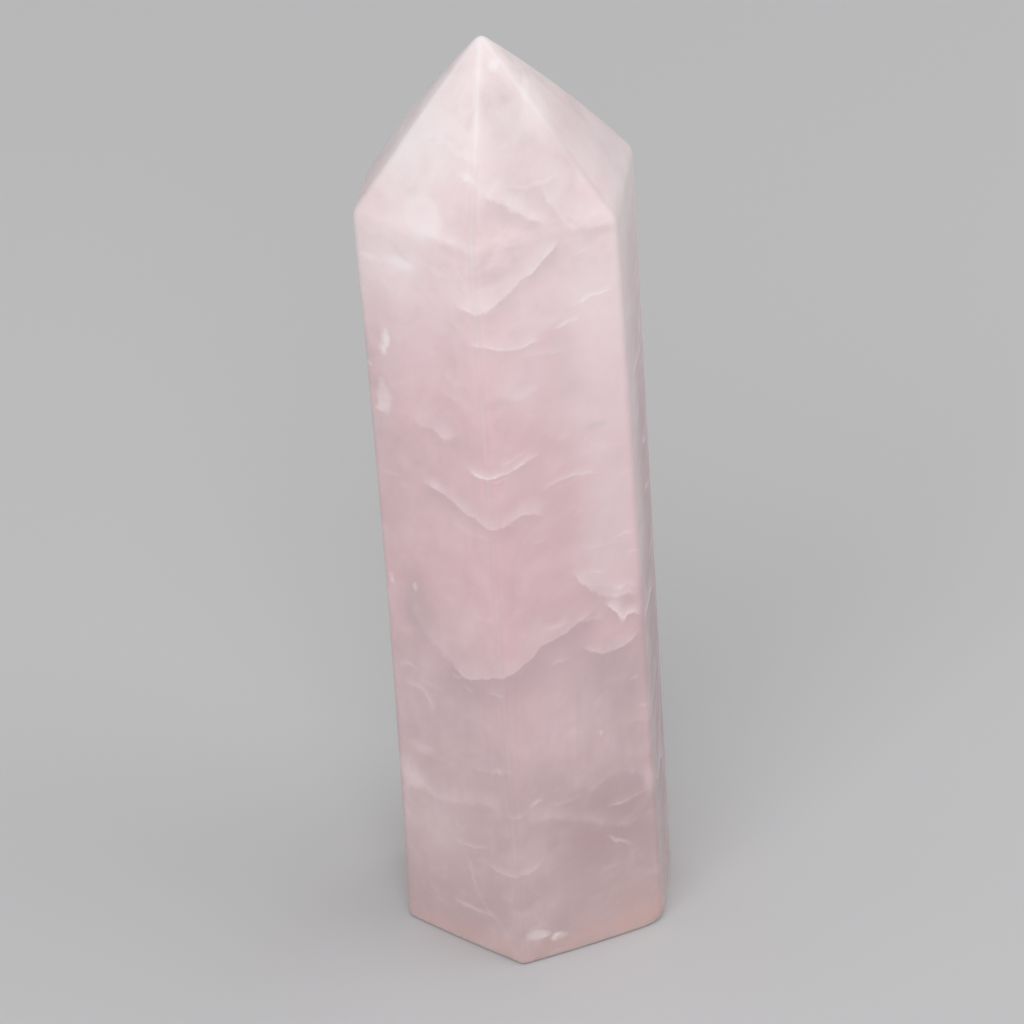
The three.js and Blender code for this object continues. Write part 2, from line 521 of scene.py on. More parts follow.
SHEETS = {}
SHEETS["front"] = [
    mark((-2.9, 84.4), (-2, 84.3), (-0.7, 83.7), rim=0.35, fill=0.3, up=0.9, edge=0.25),
    mark((-0.8, 83.6), (1.9, 81.9), (4.2, 80.7), (5.4, 80.4),
         rim=0.1, fill=0.3, up=2.2, shade=0.3, down=2, edge=0.3),
    mark((4.6, 83.2), (5.5, 81.8), (7, 79.8), (8.5, 79.3), (11.9, 78.9),
         rim=0.06, fill=0.2, up=2.6, shade=0.15, down=1.5, edge=0.28),
    mark((-6.4, 79.2), (-4.4, 79.5), (-2.8, 79.5), (-1.4, 79),
         rim=0.06, fill=0.2, up=1.4, shade=0.15, down=1.6, edge=0.35),
    mark((-12.8, 75), (-11, 75.1), (-9.3, 75.2), (-7.3, 75.6), rim=0.15, fill=0.3, edge=0.25),
    mark((-10.9, 73.5), (-10.2, 72.7), (-9.4, 72), rim=0.3, edge=0.18),
    mark((-8.4, 76.8), (-6, 76), (-3.4, 75.4), (-1.6, 75), rim=0.12, fill=0.2, up=1.6, edge=0.3),
    mark((-3.6, 73.4), (-2.2, 73), (0.2, 73.4), (2.5, 75.5), (4.1, 76.5), (6.3, 78.8),
         rim=0.25, fill=0.38, up=2.2, shade=0.3, down=2.4, edge=0.18),
    mark((7.4, 76.6), (8.4, 76.9), (9.5, 77.2), rim=0.3, edge=0.18),
    mark((6.9, 71.6), (8.8, 72), (11.3, 72.2), rim=0.7, fill=0.4, up=1.1, edge=0.14),
    mark((8.6, 72.9), (9.9, 73.1), (11, 73.2), rim=0.4, edge=0.14),
    mark((5, 69.6), (6.5, 69.9), (8.1, 70.2), rim=0.6, fill=0.4),
    mark((3.4, 69.3), (5.2, 70.3), (6.6, 71.6), (8, 73.3), fill=0.22, up=1.6, edge=0.4),
    mark((-2.7, 69.7), (0.3, 68.7), (2.2, 68.5), (4.3, 68.9),
         rim=0.5, fill=0.35, up=1.6, shade=0.18, down=1.6, edge=0.15),
    mark((-5.6, 65.3), (-4.2, 64.5), (-2.6, 64.9), rim=0.12, fill=0.2, up=1.6, edge=0.25),
    mark((-0.6, 64.4), (1, 63.2), (2.6, 63.4), (3.9, 64.4), fill=0.28, up=2.4, edge=0.3, shade=0.1),
    mark((-8.6, 58.9), (-7.8, 58.5), (-6.8, 58.8), (-5.8, 58.2), (-4.6, 58.6), (-3.5, 59.6),
         rim=0.12, fill=0.26, up=4.2, shade=0.24, down=2.6, edge=0.24),
    mark((-3.8, 55.7), (-2.2, 55.3), (0.3, 55.5), (1.7, 56), (3.3, 56.7),
         rim=0.3, fill=0.6, up=1.1, shade=0.15, down=1.2, edge=0.17),
    mark((-0.9, 56.5), (0.9, 56.8), (2.6, 57.5), rim=0.2, fill=0.4, up=0.8),
    mark((-2, 54.9), (-0.4, 54.8), (0.6, 55), rim=0.3, edge=0.14),
    mark((-7.5, 67.6), (-6.4, 66.9), (-5.4, 67.1), rim=0.2, edge=0.22),
    mark((-5.9, 63.4), (-4.4, 62.9), (-3.2, 63.2), rim=0.2, edge=0.22),
    mark((1.6, 61.8), (2.6, 61), (3.6, 60.8), rim=0.2, edge=0.2),
    mark((3.3, 52.6), (4.7, 53.3), (6.3, 53.5), (8.3, 52.9), rim=0.35, fill=0.55, up=0.9),
    mark((4, 52.1), (5.2, 52.6), (6.4, 52.7), rim=0.25, edge=0.15),
    mark((-12.3, 51.6), (-11.3, 51.7), (-10.1, 52), rim=0.35, edge=0.2),
    mark((-8.2, 52.3), (-5.7, 51.7), (-4.5, 50.9), (-2.7, 50.2), (-1.7, 49.8), (-0.1, 50), (1.7, 50.7),
         (3.3, 49.9), rim=0.06, fill=0.34, up=2, shade=0.3, down=2.4, edge=0.18),
    mark((-8.2, 52.5), (-7.1, 52.2), (-6, 51.6), rim=0.12, fill=0.24, up=0.8),
    mark((9.1, 45), (10.4, 45.5), (11.9, 45.6), rim=0.5, edge=0.14),
    mark((10.2, 43.6), (11, 43.3), (12, 43.2), rim=0.45, edge=0.14),
    mark((5.5, 43.2), (6.4, 41.4), (7.4, 40), (9.4, 38.9), (11.8, 38.6),
         rim=0.1, fill=0.35, up=3.6, shade=0.2, down=1.6, edge=0.22),
    mark((7.9, 38.6), (8.9, 37.7), (9.5, 36.8), (10, 35.5), (10.4, 36.5), (11, 36.6), (11.9, 36.2),
         rim=0.25, fill=0.55, up=1.7, shade=0.25, down=0.9, edge=0.15),
    mark((8.9, 40.4), (9.9, 39.6), (10.8, 39.9), (11.8, 39.2), rim=0.3, fill=0.25, up=0.8),
    mark((6.9, 42.9), (8.1, 42), (9.4, 42.2), rim=0.2, fill=0.25, up=0.9, edge=0.2),
    mark((-10.6, 38.6), (-9.9, 36.6), (-8.6, 34.6), (-7.1, 33.4), (-5.6, 32.4),
         fill=0.1, up=2.6, shade=0.3, down=2.6, edge=0.55),
    mark((-6.8, 33.1), (-5.9, 31.9), (-4.7, 31.7), (-2.7, 32.7), (-0.7, 33.7), (0.9, 34.7), (2.3, 35.9),
         (4.4, 36.5), (5.6, 37.3), (7.3, 38.1),
         rim=0.1, fill=0.16, up=3.2, shade=0.62, down=4.6, edge=0.13),
    mark((5.6, 34.7), (6.7, 33.8), (8.1, 33.1), (10.1, 33.5), (11.8, 34.7),
         rim=0.14, fill=0.25, up=1.6, shade=0.35, down=2.6, edge=0.14),
    mark((-6.9, 31.9), (-6.4, 31.2), (-5.8, 31.5), rim=0.45, edge=0.2),
    mark((-5.7, 30.7), (-5.2, 30.2), (-4.6, 30.6), rim=0.3, edge=0.2),
    mark((-11.8, 30.2), (-11, 30.5), (-10.3, 30.1), rim=0.3, edge=0.2),
    mark((-12, 28.1), (-10.6, 28.2), (-9.6, 27.6), (-8.8, 25.8), rim=0.14, fill=0.12, up=1.2, edge=0.2),
    mark((10.2, 29.3), (11.7, 29.3), rim=0.35),
    mark((10.8, 25.8), (12, 25.8), rim=0.35),
    mark((11.2, 23.8), (12.2, 23.9), rim=0.3),
    mark((-12.6, 15.3), (-11.5, 16.1), (-10.5, 16.4), (-9.2, 16), (-6.9, 16.6), (-4.5, 17.5), (-3.2, 17.1),
         rim=0.04, fill=0.2, up=2.6, shade=0.16, down=3, edge=0.4),
    mark((-0.1, 17.8), (0.7, 18.2), (1.7, 18.5), rim=0.5, edge=0.25),
    mark((5.6, 16.9), (6.9, 18.3), (8.4, 19), (10.1, 18.6), (11.2, 16.9), (11.9, 15.6),
         fill=0.12, up=1.5, shade=0.22, down=3, edge=0.36),
    mark((-0.6, 16.2), (1.4, 16.3), (3.8, 15.3), (6, 14.1), (9.8, 12.2),
         rim=0.04, fill=0.16, up=1.8, shade=0.2, down=2.4, edge=0.4),
    mark((6.8, 12.2), (8.3, 11.1), (9.7, 10.2), rim=0.35, edge=0.18),
    mark((-4.9, 10.6), (-3.4, 10), (-1.9, 10.2), (-0.5, 10.7), (1.1, 11.5),
         rim=0.14, fill=0.14, up=1.3, shade=0.12, down=1.4, edge=0.2),
    mark((-6.7, 11.2), (-6.3, 9.2), (-5.9, 6.8), (-5.1, 5.5), (-3.6, 3.2), rim=0.16, edge=0.2),
]
print(len(SHEETS["front"]), "sheets at the front")

# %% [markdown]
# The back isn't known, so it has sheets of the same kind: a long bowed one near the middle, a few short
# ones and a pale lobe low down. The narrow right side carries on the boundary that reaches its arris.

# %% Sheets of the back and the sides
SHEETS["back"] = [
    mark((-7.2, 83), (-5.1, 81.2), (-2.6, 81.4), (-0.4, 80.2), (1.6, 80.6),
         rim=0.15, fill=0.35, up=2.4, shade=0.2, down=1.8, edge=0.25),
    mark((-11, 74.8), (-9.4, 73.4), (-8.1, 73.5), (-6.8, 74.3), rim=0.45, fill=0.3, up=0.9),
    mark((2, 70.6), (4.1, 71.2), (5.6, 70.8), (7.7, 72.3), (9.7, 72.9),
         rim=0.35, fill=0.3, up=1.8, shade=0.2, down=1.6),
    mark((-9.8, 65.4), (-7.6, 63.2), (-5.8, 63.5), (-3.2, 61.4), (-0.6, 61), (1.4, 59.4), (3.6, 58.9),
         rim=0.18, fill=0.35, up=3.2, shade=0.32, down=2.8, edge=0.2),
    mark((-3.9, 56.6), (-2.3, 56), (-0.6, 56), (1.3, 56.7), rim=0.6, fill=0.3, up=0.9),
    mark((2.6, 50.3), (4.4, 48.7), (6.6, 48.9), (9.1, 48), (11.6, 48.7),
         rim=0.35, fill=0.3, up=1.6, shade=0.2),
    mark((-11.6, 47.8), (-10.2, 46.8), (-8.2, 46.9), (-7, 46.1), rim=0.45, fill=0.3, up=0.9),
    mark((-11.4, 33), (-9, 34.6), (-6.6, 33.8), (-4.5, 35.3), (-2, 36), (0.3, 38.4), (3.1, 39), (5.8, 41.2),
         rim=0.1, fill=0.18, up=3.4, shade=0.55, down=4.2, edge=0.15),
    mark((6.2, 31.4), (7.7, 30.7), (9.6, 31.5), (11.9, 31.2), rim=0.4, fill=0.3, up=1.8, shade=0.2),
    mark((-10.8, 25.9), (-9.2, 24.7), (-7.3, 24.9), (-5.6, 24.2), rim=0.35, fill=0.22, up=1.2),
    mark((-6.4, 18.6), (-3.6, 18.2), (-1.2, 16.5), (2.2, 16.6), (5.2, 15), (9, 15.4),
         rim=0.1, fill=0.25, up=2.8, shade=0.25, down=2.6, edge=0.3),
    mark((-9.6, 10.9), (-7.4, 9.8), (-5.2, 10.3), (-3.1, 9.9), rim=0.3, fill=0.2, up=1.3, shade=0.15),
]
SHEETS["right"] = [
    mark((-7, 34.9), (-5.1, 35.1), (-2, 34.6), (0.4, 34.2), (3.4, 33.3),
         rim=0.4, fill=0.3, up=2.8, shade=0.3, down=3),
    mark((-4, 60.1), (-1.8, 60.6), (0.6, 60), (2.8, 61.2), (5.4, 61.6), rim=0.3, fill=0.28, up=2),
    mark((-5.5, 16.2), (-3.6, 15), (-1, 15.3), (1.4, 14.2), (3.3, 14.4), rim=0.2, fill=0.28, up=2.2),
]
SHEETS["left"] = [
    mark((-4.8, 66.5), (-2.8, 67.3), (-0.6, 66.4), (1.6, 67.4), (5.1, 67), rim=0.3, fill=0.3, up=2.2),
    mark((-3.2, 44.9), (-1.2, 43.6), (1, 43.8), (2.7, 42.6), (4.3, 42.9), rim=0.3, fill=0.28, up=1.8),
    mark((-5.6, 28.8), (-3.5, 27.2), (-1.3, 27.4), (1.2, 25.8), (3.2, 26), (5.5, 24.6),
         rim=0.14, fill=0.25, up=2.6, shade=0.32, down=2.6, edge=0.22),
]
print({face: len(drawn) for face, drawn in SHEETS.items()}, "sheets")

# %% [markdown]
# Between the drawn ones the stone is full of fainter wisps. They follow a rule: each is a short shallow
# arc, bowed downwards as the big ones are, at a random place on a face. One seed fixes them all.

# %% Wisps
import random

WISP_SEED = 29
# How many a face has, and how far from its middle they go.
WISPS = {"front": (26, 11.5), "back": (44, 11.5), "right": (16, 5.5), "left": (18, 5.5)}
WISP_HEIGHTS = (3, 86)
WISP_LENGTH = (1.2, 5.0)
WISP_SLOPE = 0.22
WISP_BOW = 0.06
WISP_POINTS = (-1, -0.4, 0.3, 1)
WISP_LOOK = dict(rim=(0.03, 0.2), fill=(0.04, 0.24), up=(0.5, 1.8), shade=(0, 0.12), edge=(0.14, 0.32))
WISP_DOWN = 1.0
draw = random.Random(WISP_SEED)


def wisp(spread):
    """One short arc at a random place on a face, no further than spread from its middle."""
    height = draw.uniform(*WISP_HEIGHTS)
    narrowing = min(1, (APEX.z - height) / (APEX.z - ARRISES[0]["shoulder"][2]))
    middle = draw.uniform(-1, 1) * spread * narrowing
    half = draw.uniform(*WISP_LENGTH) / 2
    slope = draw.gauss(0, WISP_SLOPE)
    line = []
    for share in WISP_POINTS:
        along = half * share
        line.append((middle + along, height + slope * along + WISP_BOW * along ** 2))
    look = {name: draw.uniform(*span) for name, span in WISP_LOOK.items()}
    return mark(*line, down=WISP_DOWN, **look)


sheets = []
for face, drawn in SHEETS.items():
    count, spread = WISPS[face]
    small = [wisp(spread) for _ in range(count)]
    sheets += [dict(sheet, face=face) for sheet in drawn + small]
print(len(sheets), "sheets in all")

# %% [markdown]
# Each point of the skin will look up only its nearest shelf. So the shelves are sorted into layers, and two
# that stand closer together than their marks reach go into different layers. All layers are one mesh, and a
# face attribute says which layer a shelf is in.

# %% Layers
DRAWN_STEP = 0.4
# A rim fades out between these distances from its shelf, in edges.
RIM_ENDS = (8, 4)


def trace(sheet):
    """Puts a sheet's line on its face and works out how far its mark reaches."""
    curve = through(sheet["line"], DRAWN_STEP)
    sheet["points"] = [on_skin(sheet["face"], *point) for point in curve]
    sheet["reach"] = max(sheet["up"], sheet["down"], RIM_ENDS[0] * sheet["edge"])


def apart(first, second):
    """Whether two sheets are too far from each other for their marks to meet."""
    needed = 2 * max(first["reach"], second["reach"])
    pairs = ((one - other).length for one in first["points"][::2] for other in second["points"][::2])
    return all(gap > needed for gap in pairs)


layers = []
for sheet in sheets:
    trace(sheet)
    free = [layer for layer in layers if all(apart(sheet, other) for other in layer)]
    if not free:
        layers.append([])
        free = [layers[-1]]
    free[0].append(sheet)
print(len(layers), "layers of", [len(layer) for layer in layers])

# %% The shelves' mesh
SHELF_OUT = 1.2
SHELF_IN = 2.4
TAPER = 1.3
LONGEST_TAPER = 0.45


def shelf(sheet, number, corners, faces):
    """Adds a sheet's shelf: two corners for each point of its line, one outside the skin and one inside."""
    points = sheet["points"]
    length = sum((after - before).length for before, after in zip(points, points[1:]))
    taper = min(TAPER, length * LONGEST_TAPER)
    along = 0
    first = len(corners)
    for point, after in zip(points, points[1:] + points[-1:]):
        out = outwards(point)
        kept = min(1, min(along, length - along) / taper)
        kept = kept * kept * (3 - 2 * kept)
        strength = [sheet[name] * kept for name in ("rim", "fill", "shade")]
        reach = [sheet["up"], sheet["down"], sheet["edge"]]
        corners += [(point + out * SHELF_OUT, strength, reach), (point - out * SHELF_IN, strength, reach)]
        along += (after - point).length
    for low in range(first, len(corners) - 2, 2):
        faces.append(((low, low + 2, low + 3, low + 1), number))


corners, faces = [], []
for number, layer in enumerate(layers):
    for sheet in layer:
        shelf(sheet, number, corners, faces)
shelf_mesh = bpy.data.meshes.new("shelves")
shelf_mesh.from_pydata([point * MM for point, _, _ in corners], [], [face for face, _ in faces])
for place, name in ((1, "strength"), (2, "reach")):
    attribute = shelf_mesh.attributes.new(name, "FLOAT_VECTOR", "POINT")
    attribute.data.foreach_set("vector", [value for corner in corners for value in corner[place]])
shelf_mesh.attributes.new("layer", "INT", "FACE").data.foreach_set("value", [number for _, number in faces])
shelves = add_object("shelves", shelf_mesh)
print(len(faces), "faces of shelf")

# %% [markdown]
# ## Clouds
#
# Besides the sheets there are soft clouds: milkier ones near the tip and down the right side, pinker ones
# in the middle, greyer ones low down. Each is an ellipsoid in the stone, given as its middle and its radii
# in
# millimetres, its strength, and a softness where it has one of its own. The spots are written the same way:
# small bright flecks, and two pale lozenges near the left arris where a sheet comes up to the face.

# %% Clouds
CLOUDS = {}
CLOUDS["paler"] = [
    ((-5.9, -9, 80.5), (1.6, 7, 2.2), 0.36, 0.35),
    ((-7.2, -9, 80), (2.6, 7, 2.3), 0.28),
    ((-9.4, -8, 75.8), (3.2, 6, 3.6), 0.45, 0.5),
    # The next one lifts the left facet near the tip: painted light.
    ((-7.5, -6, 87), (4.2, 5, 5), 0.6),
    # The next one lifts the right facet near the tip, turned away from the front light: painted light.
    ((10, 0, 83), (3.4, 6, 4.5), 0.4),
    ((13, -1, 78.5), (2.4, 7, 3), 0.45),
    ((-8.3, -9, 75.6), (1.3, 4, 0.8), 0.6),
    ((-0.5, -12, 74.3), (3.2, 6, 1.6), 0.3),
    ((1.8, -12, 64.6), (2.4, 6, 1.9), 0.3),
    ((9.5, -8, 72), (3.2, 7, 6), 0.45),
    ((9.2, -8, 60), (3.6, 7, 9), 0.6),
    ((9.8, -8, 46), (3.2, 7, 6.5), 0.65),
    ((-10.4, -8, 21.2), (1.3, 4, 0.6), 0.4),
    ((-11.8, -7, 17.8), (1.3, 4, 1.6), 0.45),
    ((11.7, -8, 17.2), (0.7, 4, 1.5), 0.4),
    ((-10.5, -7, 12), (3.5, 6, 5), 0.2),
    ((-4, 12, 70), (5, 6, 6), 0.4),
    ((6, 10, 44), (5, 6, 6), 0.45),
    ((-8, 10, 19), (4, 6, 3), 0.35),
    ((-13, 1, 58), (4, 4, 7), 0.35),
]
CLOUDS["pinker"] = [
    ((-5.5, -10, 64), (6, 9, 7), 0.5),
    ((-6, -10, 60.5), (2.4, 6, 2.2), 0.35),
    ((-1, -12, 42), (7, 9, 8), 0.5),
    ((9.4, -9, 34.9), (3.2, 5, 1.4), 0.7),
    ((2, -10, 26.5), (5, 8, 4), 0.45),
    ((-4, 9, 46), (7, 9, 8), 0.5),
    ((13, 0, 60), (5, 5, 14), 0.35),
    ((9, 0, 84.5), (4.5, 7, 5), 0.35),
]
CLOUDS["darker"] = [
    # The first two darken the narrow right side, which the light only grazes: painted shade.
    ((16, -1, 24), (3.7, 12, 40), 1.0, 0.35),
    ((16, -1, 60), (3.7, 12, 24), 0.4, 0.35),
    ((7.4, -9, 14), (5, 8, 4.5), 0.25),
    ((-1.3, -12, 81), (3, 5, 1.8), 0.12),
    ((-0.2, -13, 76.6), (1.4, 3, 0.8), 0.14),
    # The next one dims the right front facet near the tip: painted shade.
    ((7.9, -2, 86), (2.2, 4, 2.4), 0.16),
    ((8, 8, 12), (5, 7, 6), 0.3),
]
CLOUDS["greyer"] = [
    ((4.2, -8, 84), (3.8, 5, 5), 0.22),
    ((1.8, -5, 89.5), (2.2, 4, 3), 0.24),
    ((-9.6, -9, 38.2), (1.4, 5, 3.4), 0.4),
    ((-10.5, -8, 31.5), (2.4, 6, 5), 0.1),
    ((8.7, -9, 58.2), (0.8, 3, 0.3), 0.5),
    ((8.6, -9, 29.5), (3.6, 6, 3.4), 0.3),
    ((-13, -6, 61), (3, 6, 17), 0.32),
    ((7, 9, 24), (4, 7, 5), 0.35),
    ((-13, 2, 30), (4, 5, 6), 0.3),
]
print(sum(len(clouds) for clouds in CLOUDS.values()), "clouds")

# %% Spots
SPOTS = [
    ((1.2, -1.6, 92.4), (0.5, 2, 0.45), 0.6),
    ((4, -2.2, 89.9), (0.4, 2, 0.9), 0.35),
    ((-10.7, -7.4, 66.9), (0.42, 2, 0.95), 0.6),
    ((-11.1, -7.4, 65.3), (0.4, 2, 0.6), 0.12),
    ((-11.2, -7, 60.1), (0.62, 2, 1.75), 0.27),
    ((-11.5, -7, 58.7), (0.5, 2, 0.4), 0.12),
    ((-8.5, -9, 75.8), (1.2, 3, 0.55), 0.36),
    ((-6.1, -9, 80.8), (1.7, 6, 1.6), 0.14),
    ((-12.4, -7, 63.3), (0.3, 2, 0.35), 0.35),
    ((-11.9, -7, 39.9), (0.25, 2, 0.5), 0.5),
    ((-9.6, -9, 40), (0.3, 2, 0.5), 0.5),
    ((-2.65, -14, 22), (0.2, 2, 0.25), 0.4),
    ((-7.3, -11, 14), (0.2, 2, 0.3), 0.3),
    ((7.4, -10, 24.2), (0.25, 2, 0.3), 0.4),
    ((-0.2, -14, 2.9), (1, 3, 0.55), 0.34),
    ((1.9, -13, 2.2), (0.8, 3, 0.45), 0.36),
    ((5.8, 11, 66), (0.6, 3, 1.5), 0.6),
    ((-9.4, 9, 54), (0.8, 3, 0.5), 0.6),
    ((2, 14, 27), (0.3, 3, 0.4), 0.6),
]
print(len(SPOTS), "spots")

# %% [markdown]
# ## Reading the inside at the skin
#
# A second tree of Geometry Nodes runs over the polished skin. At every vertex it looks up the nearest shelf
# of each layer and stores the distance above or below it, measured in edges, with the strengths of the
# mark. The distance is smooth even where the mark is crisp, so a vertex every 0.4 mm is enough, and the
# shader draws the crisp edge from it later. The places are shifted by noise first, because nothing that
# grew has a ruled edge.

# %% Places in the stone
INSIDE_INPUTS = {
    "Geometry": ("Geometry", None),
    "Shelves": ("Object", None),
    "Slow wander": ("Float", 0.5 * MM),
    "Quick wander": ("Float", 0.42 * MM),
    "Stone": ("Material", None),
}
SLOW_NOISE = dict(size=7, seed=11)
QUICK_NOISE = dict(size=1.5, seed=23)
LEAN_PER_HEIGHT = -APEX.x / APEX.z
inside, given = open_tree("read_the_inside", INSIDE_INPUTS)


def noise(at, size, seed, detail=2.0, twist=0.0, out="Fac"):
    """A cloud pattern with lumps of that size, in the units of the place."""
    shifted = vector_math("ADD", at, (seed, -seed, 2 * seed))
    sockets = {"Vector": shifted, "Scale": 1 / size, "Detail": detail, "Distortion": twist}
    return Wire.make(at.tree, "ShaderNodeTexNoise", {}, sockets, out)


def wander(at, reach, size, seed):
    """The push, up to about that reach, that noise gives a place."""
    push = vector_math("SUBTRACT", noise(at, size, seed, out="Color"), (0.5, 0.5, 0.5))
    return push.scaled(reach * 2)


place = Wire.make(inside, "GeometryNodeInputPosition")
in_mm = place.scaled(1 / MM)
slow = wander(in_mm, given["Slow wander"], **SLOW_NOISE)
quick = wander(in_mm, given["Quick wander"], **QUICK_NOISE)
moved = vector_math("ADD", vector_math("ADD", place, slow), quick)
along_x, depth, height = parts_of(moved.scaled(1 / MM))
across = along_x + height * LEAN_PER_HEIGHT
upright = vector_of(inside, X=across, Y=depth, Z=height)
print("lean taken out:", round(LEAN_PER_HEIGHT, 3), "mm per mm")

# %% Nearest shelves
settings = {"transform_space": "ORIGINAL"}
sockets = {"Object": given["Shelves"]}
shelf_geometry = Wire.make(inside, "GeometryNodeObjectInfo", settings, sockets, "Geometry")


def from_shelf(number, value):
    """A value read at the nearest point of a layer's shelves."""
    sockets = {
        "Mesh": shelf_geometry, "Value": value, "Group ID": named(inside, "layer", "INT"),
        "Sample Position": moved, "Sample Group ID": number,
    }
    settings = {"data_type": "FLOAT_VECTOR"}
    return Wire.make(inside, "GeometryNodeSampleNearestSurface", settings, sockets, "Value")


marked = given["Geometry"]
for number in range(len(layers)):
    offset = vector_math("SUBTRACT", moved, from_shelf(number, place))
    rise = parts_of(offset)[2]
    distance = vector_math("LENGTH", offset, out="Value") / MM
    rim, fill, shade = parts_of(from_shelf(number, named(inside, "strength", "FLOAT_VECTOR")))
    up, down, edge = parts_of(from_shelf(number, named(inside, "reach", "FLOAT_VECTOR")))
    edges = distance / edge
    strength = vector_of(
        inside,
        X=rim * edges.smooth(*RIM_ENDS),
        Y=fill * distance.smooth(up, 0),
        Z=shade * distance.smooth(down, 0),
    )
    marked = stored(marked, f"gap_{number}", edges * rise.math("SIGN"))
    marked = stored(marked, f"sheet_{number}", strength, "FLOAT_VECTOR")
print(len(layers), "layers read")

# %% [markdown]
# The clouds are read the same way. Noise of several sizes is added to them, so that nothing in the stone is
# one flat colour.

# %% Clouds at the skin
CLOUD_SOFTNESS = 0.65
CLOUD_DETAIL = 3.0
CLOUD_TWIST = 1.2
# Size, seed, the two levels of the noise that a cloud comes in between, and strength.
NATURAL_CLOUDS = {
    "paler": [(13, 5, (0.48, 0.72), 0.25), (4.2, 41, (0.5, 0.75), 0.25), (1.9, 53, (0.48, 0.7), 0.14)],
    "pinker": [(9, 61, (0.5, 0.7), 0.25)],
    "darker": [],
    "greyer": [(13, 5, (0.48, 0.3), 0.16), (4.2, 41, (0.46, 0.28), 0.15), (1.9, 53, (0.46, 0.3), 0.08)],
}


def away_from(middle, radii):
    """0 in the middle of a blob, 1 on its skin and more outside."""
    away = vector_math("DIVIDE", vector_math("SUBTRACT", upright, middle), radii)
    return vector_math("LENGTH", away, out="Value")


def cloud_total(name):
    """The share of a tint at the skin: its listed clouds and its natural ones."""
    total = 0.0
    for middle, radii, strength, *own in CLOUDS[name]:
        softness = own[0] if own else CLOUD_SOFTNESS
        total = away_from(middle, radii).smooth(1 + softness, 1 - softness) * strength + total
    for size, seed, (start, end), strength in NATURAL_CLOUDS[name]:
        lumps = noise(upright, size, seed, CLOUD_DETAIL, CLOUD_TWIST)
        total = lumps.smooth(start, end) * strength + total
    return total


totals = {name: cloud_total(name) for name in CLOUDS}
print("reading tree so far:", len(inside.nodes), "nodes")

# %% Spots and peach at the skin
SPOT_EDGE = 0.22
SPOT_FADE = (2.4, 1.8)
# A peach tint along the foot and low on its right: a painted glow of light coming through the stone.
PEACH_RIM = dict(heights=(3.6, 0.4), share=0.55)
PEACH_CORNER = dict(heights=(10, 1), across=(1, 9), share=0.5)

spot_gap, spot_strength = None, 0.0
for middle, radii, strength in SPOTS:
    away = away_from(middle, radii)
    gap = (away - 1) * (min(radii) / SPOT_EDGE)
    spot_gap = gap if spot_gap is None else spot_gap.math("MINIMUM", gap)
    spot_strength = away.smooth(*SPOT_FADE) * strength + spot_strength
along_rim = height.smooth(*PEACH_RIM["heights"])
in_corner = height.smooth(*PEACH_CORNER["heights"]) * across.smooth(*PEACH_CORNER["across"])
totals["peach"] = along_rim * PEACH_RIM["share"] + in_corner * PEACH_CORNER["share"]
totals["spot_gap"] = spot_gap
totals["spot_strength"] = spot_strength
for name, total in totals.items():
    marked = stored(marked, name, total)
close_tree(marked, given["Stone"])

# %% [markdown]
# ## The stone itself
#
# Both trees run as modifiers on the blank. The result is taken as a plain mesh, which the export can read,
# and the blank, its modifiers and the shelves go. The finish is still an empty material here.

# %% From the trees to a plain mesh
rose_quartz = bpy.data.materials.new("rose_quartz")
rose_quartz.use_nodes = True
steps = [(skin, {"Stone": rose_quartz}), (inside, {"Stone": rose_quartz, "Shelves": shelves})]
for tree, inputs in steps:
    modifier = stone_blank.modifiers.new(tree.name, "NODES")
    modifier.node_group = tree
    for socket in tree.interface.items_tree:
        if socket.in_out == "INPUT" and socket.name in inputs:
            modifier[socket.identifier] = inputs[socket.name]
evaluated = stone_blank.evaluated_get(bpy.context.evaluated_depsgraph_get())
obelisk = add_object("polished_obelisk", bpy.data.meshes.new_from_object(evaluated))
obelisk.data.name = obelisk.name
stone_blank.modifiers.clear()
for helper in (stone_blank, shelves):
    bpy.data.objects.remove(helper)
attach(obelisk, "root")
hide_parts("obelisk")
obelisk.data.calc_loop_triangles()
print(len(obelisk.data.loop_triangles), "triangles")

# %% [markdown]
# ## The finish
#
# Rose quartz is milky: light goes a few millimetres in and comes out again. The colour is a slow run from
# almost white at the tip through pink to a greyer mauve. It is partly the stone's own colour and partly
# painted shade, darker towards the foot as if the light fell from above. A faint peach at the sawn foot is a
# painted glow of light coming through the stone there. A colour ramp on the height in millimetres does the
# run, and every mark mixes one more colour in.

# %% Body colour and painted shade
STONE_HEIGHT = 94.5
# Stops up the stone: its own colour with painted shade, darker towards the foot.
BODY_RUN_AND_SHADE = [
    (0, (0.545, 0.41, 0.41)),
    (14, (0.585, 0.442, 0.452)),
    (28, (0.64, 0.487, 0.507)),
    (40, (0.69, 0.495, 0.52)),
    (58, (0.745, 0.545, 0.572)),
    (74, (0.85, 0.695, 0.715)),
    (82, (0.825, 0.695, 0.71)),
    (88, (0.87, 0.765, 0.775)),
]
finish = rose_quartz.node_tree
finish.nodes.clear()


def mix(share, first, second):
    """first where share is 0 and second where it is 1. Either may be a plain colour."""
    sockets = {0: share}
    for number, colour in ((6, first), (7, second)):
        sockets[number] = colour if isinstance(colour, Wire) else (*colour, 1)
    return Wire.make(finish, "ShaderNodeMix", {"data_type": "RGBA"}, sockets, 2)


def read(name, out="Fac"):
    """An attribute that the trees stored on the skin."""
    return Wire.make(finish, "ShaderNodeAttribute", {"attribute_name": name}, out=out)


